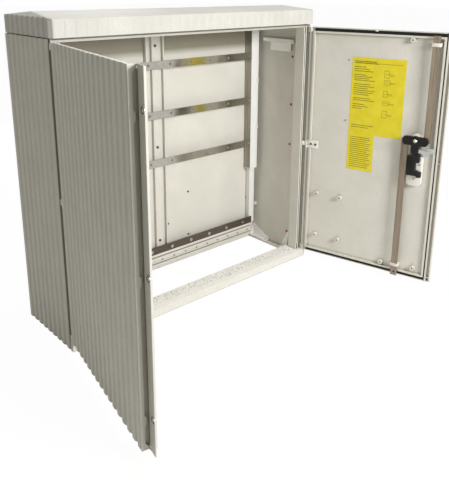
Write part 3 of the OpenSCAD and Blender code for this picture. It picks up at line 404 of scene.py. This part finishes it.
def black_nylon():
    """Glass-filled nylon: black, with a fine matt grain that catches small lights.

    The grain is drawn at 1.2 mm, coarser than real, so that it shows.
    """
    material, tree, place = new_material("black_nylon")
    grain = add(tree, "TexNoise", {"Vector": place, "Scale": per_mm(1.2), "Detail": 4.0})
    shade = add(tree, "ValToRGB", {"Fac": grain}, stops=[(0.3, "#0e0e0f"), (0.7, "#191819")])
    gloss = add(tree, "ValToRGB", {"Fac": grain}, stops=[(0.3, 0.3), (0.7, 0.45)])
    skin = add(tree, "Bump", {"Height": grain, "Strength": 0.15, "Distance": 0.2 * MM})
    surface = add(tree, "BsdfPrincipled", {
        "Base Color": shade, "Roughness": gloss, "IOR": 1.36, "Normal": skin})
    add(tree, "OutputMaterial", {"Surface": surface})
    return material


def foam_seal():
    """Closed-cell sealing foam: near black, matt and finely pitted, with 1.5 mm cells, coarse to show."""
    material, tree, place = new_material("foam_seal")
    cells = add(tree, "TexVoronoi", {"Vector": place, "Scale": per_mm(1.5)})
    shade = add(tree, "ValToRGB", {"Fac": cells}, stops=[(0.0, "#0d0d0d"), (1.0, "#222120")])
    pits = add(tree, "Bump", {"Height": cells, "Strength": 0.3, "Distance": 0.4 * MM})
    surface = add(tree, "BsdfPrincipled", {
        "Base Color": shade, "Roughness": 0.85, "IOR": 1.45, "Normal": pits})
    add(tree, "OutputMaterial", {"Surface": surface})
    return material


def yellow_card():
    """Printed sheet: strong yellow with a slight unevenness of the ink."""
    material, tree, place = new_material("yellow_card")
    ink = add(tree, "TexNoise", {"Vector": place, "Scale": per_mm(30), "Detail": 3.0})
    shade = add(tree, "ValToRGB", {"Fac": ink}, stops=[(0.3, "#dccb1e"), (0.7, "#e6d632")])
    surface = add(tree, "BsdfPrincipled", {"Base Color": shade, "Roughness": 0.5, "IOR": 1.5})
    add(tree, "OutputMaterial", {"Surface": surface})
    return material


def print_ink():
    """Printed strokes: olive where dark ink lies thin on the yellow."""
    material, tree, place = new_material("print_ink")
    wear = add(tree, "TexNoise", {"Vector": place, "Scale": per_mm(5), "Detail": 2.0})
    shade = add(tree, "ValToRGB", {"Fac": wear}, stops=[(0.35, "#6c6617"), (0.65, "#8a8120")])
    surface = add(tree, "BsdfPrincipled", {"Base Color": shade, "Roughness": 0.6, "IOR": 1.5})
    add(tree, "OutputMaterial", {"Surface": surface})
    return material


def passivated_bar():
    """Flat steel bar with a brownish chromate film, streaked along its length."""
    material, tree, place = new_material("passivated_bar")
    stretch = add(tree, "Mapping", {"Vector": place, "Scale": (1.0, 1.0, 0.03)})
    streaks = add(tree, "TexNoise", {"Vector": stretch, "Scale": per_mm(3), "Detail": 3.0})
    shade = add(tree, "ValToRGB", {"Fac": streaks}, stops=[(0.3, "#857869"), (0.7, "#a29482")])
    gloss = add(tree, "ValToRGB", {"Fac": streaks}, stops=[(0.3, 0.34), (0.7, 0.5)])
    surface = add(tree, "BsdfPrincipled", {"Base Color": shade, "Metallic": 0.7, "Roughness": gloss})
    add(tree, "OutputMaterial", {"Surface": surface})
    return material


# Finishes: one for each material slot, and other ones for single nodes
SHELL = ("#d3d0c7", "#dedbd3")
FINISHES = {
    "shell": moulded_glass_fibre("moulded_glass_fibre", *SHELL, 7),
    "white_steel": white_painted_steel(),
    "galvanised": galvanised_sheet(),
    "dark_steel": dark_bronze_rail(),
    "zinc": zinc_plate(),
    "cream_plastic": cream_moulding(),
    "insert_brass": copper_insert(),
    "black_plastic": black_nylon(),
    "seal_rubber": foam_seal(),
    "yellow_sheet": yellow_card(),
    "rod_steel": passivated_bar(),
}
INK = print_ink()
WHITE = white_nylon()
OXIDISED = FINISHES["dark_steel"]
NODE_FINISHES = (
    (("left_side_wall", "right_side_wall"), moulded_glass_fibre("moulded_side_wall", *SHELL, 14, painted_joint_shade)),
    (("left_door", "right_door"), moulded_glass_fibre("moulded_door_leaf", *SHELL, 16)),
    (("left_rear_panel", "right_rear_panel"),
     moulded_glass_fibre("moulded_rear_panel", *SHELL, 7, roof_shade)),
    # A paler copy of the shell: painted light on the sill's top
    (("front_sill",), moulded_glass_fibre("moulded_sill_tread_lit", "#f0eeea", "#f6f5f2", 7, sill_tread)),
    # A darker copy of the shell: painted shade that tones the roof down against the front lamp
    (("roof",), moulded_glass_fibre("moulded_roof_hood_shaded", "#c8c6bf", "#d3d1cb", 14)),
    # A darker copy of the shell: painted shadow of the roof's overhang on this rail
    (("top_front_rail",), moulded_glass_fibre("moulded_top_rail_shaded", "#b3b0a7", "#bebbb3", 7)),
    # A darker copy of the galvanised finish: painted shade on the angles' side legs
    (("left_rail_angle", "right_rail_angle"), shaded_zinc()),
    (("latch_bolt",), FINISHES["zinc"]),
    # The gussets are drawn white instead of cream: painted light on faces that lie in the walls' shade
    (("roof_straps", "front_gussets", "rear_gussets", "left_hinge_leaf", "right_hinge_leaf"), WHITE),
)
OWN_FINISH = {node: finish for nodes, finish in NODE_FINISHES for node in nodes}
SLOT_OF = {part["node"]: part["material_slot"] for part in frame["record"]["subparts"]}

for name, slot in SLOT_OF.items():
    solid = frame["nodes"][name]
    solid.data.materials.clear()
    solid.data.materials.append(OWN_FINISH.get(name, FINISHES[slot]))


# Modelling: a shape is drawn in millimetres in the frame of the cabinet or of a door, then set in place
SMOOTH_ANGLE = math.radians(35)
LEVEL = 0.9  # least share of a normal along an axis for a face that looks along it
HAIR = 0.01  # length under which two places count as one


def deselect():
    bpy.ops.object.select_all(action="DESELECT")


def select_only(piece):
    """Selects one piece and makes it the active one."""
    deselect()
    piece.select_set(True)
    bpy.context.view_layer.objects.active = piece


def pick_faces(test):
    """Selects the faces of the shape in edit mode whose centre and normal pass a test."""
    bpy.ops.mesh.select_all(action="DESELECT")
    shape = bmesh.from_edit_mesh(bpy.context.object.data)
    for face in shape.faces:
        face.select_set(bool(test(face.calc_center_median(), face.normal)))
    bmesh.update_edit_mesh(bpy.context.object.data)


def pick_edges(test):
    """Selects the edges of the shape in edit mode whose two ends pass a test."""
    bpy.ops.mesh.select_all(action="DESELECT")
    bpy.ops.mesh.select_mode(type="EDGE")
    shape = bmesh.from_edit_mesh(bpy.context.object.data)
    for edge in shape.edges:
        edge.select_set(bool(test(edge.verts[0].co, edge.verts[1].co)))
    bmesh.update_edit_mesh(bpy.context.object.data)
    bpy.ops.mesh.select_mode(type="FACE")


def push(distance):
    """Extrudes the selected faces along their normals."""
    bpy.ops.mesh.extrude_region_shrink_fatten(TRANSFORM_OT_shrink_fatten={"value": distance})


def block(size, at):
    """Starts a shape as a block of a size about a place, in edit mode."""
    deselect()
    bpy.ops.mesh.primitive_cube_add(size=1, location=(0, 0, 0))
    bpy.ops.object.mode_set(mode="EDIT")
    bpy.ops.mesh.select_mode(type="FACE")
    bpy.ops.transform.resize(value=size)
    bpy.ops.transform.translate(value=at)


def disc(radius, depth, sides):
    """Starts a shape as a disc that stands on the origin and rises along its third axis, in edit mode."""
    deselect()
    bpy.ops.mesh.primitive_cylinder_add(vertices=sides, radius=radius, depth=depth, location=(0, 0, 0))
    bpy.ops.object.mode_set(mode="EDIT")
    bpy.ops.mesh.select_mode(type="FACE")
    bpy.ops.transform.translate(value=(0, 0, depth / 2))


def close_shape(name):
    """Ends edit mode and names the shape."""
    bpy.ops.object.mode_set(mode="OBJECT")
    bpy.context.object.name = name
    return bpy.context.object


def join(shapes):
    """Joins shapes to the first one."""
    select_only(shapes[0])
    for shape in shapes[1:]:
        shape.select_set(True)
    bpy.ops.object.join()
    return shapes[0]


def repeat(shape, moves):
    """Copies a shape, each copy with its own mesh, and joins the copies to one piece."""
    copies = []
    for move in moves:
        copy = bpy.data.objects.new(shape.name, shape.data.copy())
        bpy.context.collection.objects.link(copy)
        copy.data.transform(move)
        copies.append(copy)
    bpy.data.objects.remove(shape)
    return join(copies)


def at_spots(spots, turn=Matrix.Identity(4)):
    """Moves that turn a shape and carry it to each of several places."""
    return [Matrix.Translation(spot) @ turn for spot in spots]


def set_in_place(piece, name, place, body, slot, finish=None):
    """Carries a piece to its frame, names it, gives it its finish and lets it ride on its body."""
    select_only(piece)
    piece.data.transform(place)
    bpy.ops.object.mode_set(mode="EDIT")
    bpy.ops.mesh.select_all(action="SELECT")
    bpy.ops.mesh.normals_make_consistent(inside=False)
    bpy.ops.object.mode_set(mode="OBJECT")
    piece.data.materials.clear()
    piece.data.materials.append(finish or FINISHES[slot])
    bpy.ops.object.shade_smooth_by_angle(angle=SMOOTH_ANGLE)
    piece.name = name
    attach(piece, body)


def inner_face(node):
    """Depth of a node's inner face on the right-hand door, in millimetres."""
    to_door = RIGHT_DOOR.inverted()
    return max((to_door @ v.co).z for v in frame["nodes"][node].data.vertices)


# Printed sheets
def print_stroke(u, z, length, height, upright=False):
    """Printed stroke: a thin strip from its left or lower end, placed from the sheet's top left corner."""
    block((length, height, INK_T), (length / 2, 0, INK_T / 2))
    pick_faces(lambda c, n: n.z > LEVEL)
    bpy.ops.mesh.inset(thickness=height * 0.12, depth=0)
    push(INK_T * 0.5)
    strip = close_shape("stroke")
    if upright:
        strip.data.transform(Matrix.Rotation(math.radians(90), 4, "Z"))
    strip.data.transform(Matrix.Translation((SHEET_U + u, SHEET_TOP - z, DOOR_SKIN_T + SHEET_T)))
    return strip


def make_sheet_print():
    """Plain strokes in rows on both sheets, and small framed fields on the right half of the large one."""
    strips = [print_stroke(SHEET_MARGIN, z, w, HEADING_H) for z, w in HEADING_ROWS]
    strips += [print_stroke(SHEET_MARGIN, z, w, TEXT_H) for z, w in TEXT_ROWS]
    strips.append(print_stroke(RULE_U, RULE_Z, RULE_W, FRAME_H))
    for z, w, h in FIELDS:
        strips += [print_stroke(FIELD_U, edge, w, FRAME_H) for edge in (z, z + h)]
        strips += [print_stroke(FIELD_U + u, z + h * down, w + more, FINE_H) for u, down, more in FIELD_LINES]
        strips += [print_stroke(u, z + h, h, FINE_H, upright=True) for u in (FIELD_U, FIELD_U + w)]
    for i in range(CARD_ROWS):
        width = CARD_WIDTHS[i % len(CARD_WIDTHS)]
        strips.append(print_stroke(CARD_MARGIN, SHEET_H + CARD_TOP + CARD_STEP * i, width, CARD_TEXT_H))
    set_in_place(join(strips), "sheet_print", RIGHT_DOOR, "right_door", "yellow_sheet", INK)


# Screws and rivets
def screw_head(radius, height):
    """Pan-head screw: a disc with a rounded shoulder and a cross-shaped drive pressed into its top."""
    shoulder, recess = height * 0.45, height * 0.5
    drive_l, drive_w = radius * 0.95, radius * 0.22
    disc(radius, height, sides=28)
    pick_edges(lambda a, b: min(a.z, b.z) > height - HAIR)
    bpy.ops.mesh.bevel(offset=shoulder, segments=3, affect="EDGES")
    pick_faces(lambda c, n: c.z > height - HAIR and n.z > LEVEL and c.xy.length < 0.1)
    bpy.ops.mesh.inset(thickness=drive_w, depth=0)
    push(-recess)
    parts = [close_shape("screw_head")]
    for turn in (0, 90):
        block((drive_l, drive_w, 0.12), (0, 0, height * 0.52))
        pick_faces(lambda c, n: n.z > LEVEL)
        bpy.ops.mesh.inset(thickness=0.05, depth=0)
        push(height * 0.08)
        bar = close_shape("drive_bar")
        bar.data.transform(Matrix.Rotation(math.radians(turn), 4, "Z"))
        parts.append(bar)
    return join(parts)


def make_panel_screws():
    """Dark screw heads on both rear panels."""
    spots = [(side * x, PANEL_Y, z) for side in (1, -1) for x, z in PANEL_SCREWS]
    heads = repeat(screw_head(radius=4.0, height=2.4), at_spots(spots, TO_FRONT))
    set_in_place(heads, "panel_screw_heads", CABINET, "cabinet", "dark_steel")


def replace_screws(node, radius, columns, finish=None):
    """Heads in place of a node's plain screws, three in each column."""
    low, high = box_mm(node)
    heights = (low.z + radius, (low.z + high.z) / 2, high.z - radius)
    spots = [(x, high.y, z) for x in columns for z in heights]
    heads = repeat(screw_head(radius, height=3.0), at_spots(spots, TO_FRONT))
    set_in_place(heads, node + "_heads", CABINET, "cabinet", "zinc", finish)
    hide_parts(node)


def make_rail_and_post_screws():
    """Dark heads down the centre post and bright ones at both ends of the mounting rails."""
    post_r = box_mm("post_screws")[1].x
    replace_screws("post_screws", post_r, (0,), OXIDISED)
    rail_x = box_mm("rail_screws")[1].x - RAIL_SCREW_R
    replace_screws("rail_screws", RAIL_SCREW_R, (-rail_x, rail_x))


def make_leaf_screws():
    """Two dark heads on each door's hinge leaf."""
    for side, door in (("right", RIGHT_DOOR), ("left", LEFT_DOOR)):
        low, high = box_mm(side + "_leaf_screws")
        spots = [(u, (low.z + high.z) / 2, DOOR_SKIN_T + LEAF_T) for u in LEAF_SCREWS_U]
        heads = repeat(screw_head(radius=4.5, height=2.4), at_spots(spots))
        set_in_place(heads, side + "_leaf_screw_heads", door, side + "_door", "zinc", OXIDISED)
        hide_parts(side + "_leaf_screws")


def make_beam_fasteners():
    """A row of small rivets along the rear beam and one of bright screws along the dark cable rail."""
    groove_y = box_mm("rear_beam")[0].y + BEAM_GROOVE_D
    spots = [(x, groove_y, BEAM_RIVETS_Z) for x in BEAM_RIVETS_X]
    rivets = repeat(screw_head(radius=2.6, height=1.4), at_spots(spots, TO_FRONT))
    set_in_place(rivets, "beam_rivets", CABINET, "cabinet", "dark_steel")
    low, high = box_mm("cable_rail")
    spots = [(x, low.y, (low.z + high.z) / 2) for x in CABLE_RAIL_X]
    heads = repeat(screw_head(radius=6.5, height=2.6), at_spots(spots, TO_FRONT))
    set_in_place(heads, "cable_rail_screws", CABINET, "cabinet", "zinc")


def make_door_fasteners():
    """Rivets beside the sheets and screws in the lock's base, on the right-hand door."""
    spots = [(u, z, DOOR_SKIN_T) for u, z in SHEET_RIVETS]
    rivets = repeat(screw_head(radius=3.4, height=2.0), at_spots(spots))
    set_in_place(rivets, "sheet_rivets", RIGHT_DOOR, "right_door", "zinc")
    base_t = inner_face("lock_base")
    spots = [(u, z, base_t) for u, z in LOCK_BASE_SCREWS]
    heads = repeat(screw_head(radius=4.2, height=2.2), at_spots(spots))
    set_in_place(heads, "lock_base_screws", RIGHT_DOOR, "right_door", "zinc")


# Clips, hooks and rings
def cable_clip():
    """Snap-in clip: a rounded block on a foot, with a hollow at its end."""
    foot, ledge, stem, wall, hollow = 3, 2.2, 11, 2.0, 7
    block((13, 16, foot), (0, 0, foot / 2))
    pick_faces(lambda c, n: n.z > LEVEL)
    bpy.ops.mesh.inset(thickness=ledge, depth=0)
    push(stem)
    pick_faces(lambda c, n: n.z > LEVEL and c.z > foot + stem - 1)
    bpy.ops.mesh.inset(thickness=wall, depth=0)
    push(-hollow)
    pick_edges(lambda a, b: abs(a.z - b.z) > 2 and max(a.xy.length, b.xy.length) > 5)
    bpy.ops.mesh.bevel(offset=1.4, segments=3, affect="EDGES")
    return close_shape("cable_clip")


def make_clips():
    """Cable clips low on both side walls, and a small one on the right-hand door's top edge."""
    for side, x, turn in (("right", WALL_X, FROM_RIGHT_WALL), ("left", -WALL_X, FROM_LEFT_WALL)):
        clips = repeat(cable_clip(), at_spots([(x, y, z) for y, z in WALL_CLIPS], turn))
        set_in_place(clips, side + "_wall_clips", CABINET, "cabinet", "cream_plastic", WHITE)
    foot, ledge, cap = 2, 1.0, 1.5
    block((11, 5, foot), (*EDGE_CLIP_AT, inner_face("right_door_seal") + foot / 2))
    pick_faces(lambda c, n: n.z > LEVEL)
    bpy.ops.mesh.inset(thickness=ledge, depth=0)
    push(cap)
    set_in_place(close_shape("edge_clip"), "edge_clip", RIGHT_DOOR, "right_door", "cream_plastic", WHITE)


def make_upright_hooks():
    """Small hooks on the front corners of the white uprights."""
    foot, ledge, stem, lip = 3, 1.2, 3.5, 3
    block((7, 12, foot), (0, 0, foot / 2))
    pick_faces(lambda c, n: n.z > LEVEL)
    bpy.ops.mesh.inset(thickness=ledge, depth=0)
    push(stem)
    pick_faces(lambda c, n: n.y > LEVEL and c.z > foot)
    push(lip)
    pick_edges(lambda a, b: min(a.z, b.z) > foot + stem - 0.5)
    bpy.ops.mesh.bevel(offset=0.8, segments=2, affect="EDGES")
    hook = close_shape("upright_hook")
    low, high = box_mm("right_upright")
    spots = [(side * (high.x - HOOK_INSET), low.y, z) for side in (-1, 1) for z in HOOKS_Z]
    hooks = repeat(hook, at_spots(spots, TO_FRONT))
    set_in_place(hooks, "upright_hooks", CABINET, "cabinet", "white_steel", WHITE)


def make_keeper_shade_rings():
    """Dark steel rings in the grooves of the keepers on the left-hand door's lip: painted shade for the shadow in
    the grooves.
    """
    radius, width, thick = 8.4, 3.3, 1.1
    to_door = LEFT_DOOR.inverted()
    corners = [to_door @ v.co for v in frame["nodes"]["keeper_studs"].data.vertices]
    face_t = min(c.z for c in corners)
    middle_u = (min(c.x for c in corners) + max(c.x for c in corners)) / 2
    disc(radius, thick, sides=36)
    pick_faces(lambda c, n: abs(n.z) > LEVEL)
    bpy.ops.mesh.inset(thickness=width, depth=0)
    pick_faces(lambda c, n: abs(n.z) > LEVEL and c.xy.length < 0.1)
    bpy.ops.mesh.bridge_edge_loops()
    pick_edges(lambda a, b: a.z == b.z and min(a.xy.length, b.xy.length) > radius - 0.4)
    bpy.ops.mesh.bevel(offset=0.5, segments=3, affect="EDGES")
    ring = close_shape("keeper_shade_ring")
    spots = [(middle_u, z, face_t + thick) for z in KEEPERS_Z]
    rings = repeat(ring, at_spots(spots, OUT_OF_DOOR))
    set_in_place(rings, "keeper_shade_rings", LEFT_DOOR, "left_door", "dark_steel")


def soften(node, body, width):
    """Puts a copy of a solid, with its sharp edges broken to a width in millimetres, in the solid's place."""
    piece = bpy.data.objects.new(node + "_soft", frame["nodes"][node].data.copy())
    bpy.context.collection.objects.link(piece)
    select_only(piece)
    bpy.ops.object.mode_set(mode="EDIT")
    bpy.ops.mesh.select_all(action="SELECT")
    bpy.ops.mesh.remove_doubles(threshold=HAIR * MM)
    bpy.ops.mesh.dissolve_limited(angle_limit=math.radians(1.0))
    bpy.ops.object.mode_set(mode="OBJECT")
    bevel = piece.modifiers.new("edges", "BEVEL")
    bevel.width = width * MM
    bevel.segments = 2
    bevel.limit_method = "ANGLE"
    bevel.angle_limit = math.radians(40)
    bpy.ops.object.modifier_apply(modifier="edges")
    bpy.ops.object.shade_smooth_by_angle(angle=SMOOTH_ANGLE)
    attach(piece, body)
    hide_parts(node)


make_sheet_print()
make_panel_screws()
make_rail_and_post_screws()
make_leaf_screws()
make_beam_fasteners()
make_door_fasteners()
make_clips()
make_upright_hooks()
make_keeper_shade_rings()
for node, body, width in (
        ("lock_case", "right_door", 1.2), ("lock_base", "right_door", 2.0), ("rod_guides", "right_door", 2.2),
        ("lock_handle", "lock", 2.5), ("handle_plate", "right_door", 1.5), ("keeper_studs", "left_door", 0.6),
        ("roof_straps", "cabinet", 0.8), ("upper_rod", "upper_rod", 0.5), ("lower_rod", "lower_rod", 0.5),
        ("latch_bolt", "latch", 0.6), ("front_gussets", "cabinet", 0.8), ("rear_gussets", "cabinet", 0.8)):
    soften(node, body, width)


# Studio: a white floor that keeps a soft shadow, an even sky, and soft lamps in front, above and behind
def seen_plainly(tree):
    """1 for a ray from the camera or off a glossy surface, which sees plain white, and 0 for any other."""
    camera = add(tree, "LightPath", out="Is Camera Ray")
    glossy = add(tree, "LightPath", out="Is Glossy Ray")
    return add(tree, "Math", {0: camera, 1: glossy}, operation="ADD", use_clamp=True)


def white_floor():
    """Matt white paper that mostly glows white where it is seen and takes light as paper does."""
    material, tree, _ = new_material("white_floor")
    share = add(tree, "Math", {0: seen_plainly(tree), 1: FLOOR_GLOW_SHARE}, operation="MULTIPLY")
    paper = add(tree, "BsdfDiffuse", {"Color": colour("#e8e7e4")})
    glow = add(tree, "Emission", {"Color": colour("#ffffff"), "Strength": FLOOR_GLOW})
    surface = add(tree, "MixShader", {0: share, 1: paper, 2: glow})
    add(tree, "OutputMaterial", {"Surface": surface})
    return material


def make_floor():
    deselect()
    bpy.ops.mesh.primitive_plane_add(size=FLOOR_SIZE, location=(0, 0, cad_box[0].z))
    floor = bpy.context.object
    floor.name = "studio_floor"
    floor.data.materials.append(white_floor())


def make_sky():
    """An even sky: white where it is seen, and a weak warm light elsewhere."""
    world = bpy.data.worlds.new("studio_sky")
    world.use_nodes = True
    tree = world.node_tree
    tree.nodes.clear()
    seen = seen_plainly(tree)
    strength = add(tree, "MapRange", {"Value": seen, "To Min": SKY_LIGHT, "To Max": 1.0})
    tint = add(tree, "Mix", {
        "Factor": seen, "A": colour("#fffde9"), "B": colour("#ffffff")}, data_type="RGBA")
    sky = add(tree, "Background", {"Color": tint, "Strength": strength})
    add(tree, "OutputWorld", {"Surface": sky})
    bpy.context.scene.world = world


def make_lamp(name, place, target, size, watts):
    """A round soft lamp that points at a target."""
    data = bpy.data.lights.new(name, "AREA")
    data.shape = "DISK"
    data.size = size
    data.energy = watts
    lamp = bpy.data.objects.new(name, data)
    bpy.context.collection.objects.link(lamp)
    lamp.location = place
    lamp.rotation_euler = (Vector(target) - Vector(place)).to_track_quat("-Z", "Y").to_euler()


def make_camera():
    """The camera of the picture, with the shift that its centre gives."""
    data = bpy.data.cameras.new("camera")
    data.sensor_width = SENSOR_MM
    data.lens = FOCAL_PX * SENSOR_MM / PICTURE_H
    data.shift_x = (PICTURE_W / 2 - CENTRE_PX[0]) / PICTURE_H
    data.shift_y = (CENTRE_PX[1] - PICTURE_H / 2) / PICTURE_H
    camera = bpy.data.objects.new("camera", data)
    bpy.context.collection.objects.link(camera)
    camera.location = Vector(CAMERA_AT_MM) * MM
    turn = Euler((math.radians(90 + CAMERA_PITCH), 0, math.radians(-CAMERA_YAW)), "XYZ").to_matrix()
    roll = Matrix.Rotation(math.radians(CAMERA_ROLL), 3, "Z")
    camera.rotation_euler = (turn @ roll).to_euler()
    bpy.context.scene.camera = camera


make_floor()
make_sky()
for lamp in LAMPS:
    make_lamp(*lamp)
make_camera()
bpy.context.scene.view_settings.view_transform = "Standard"
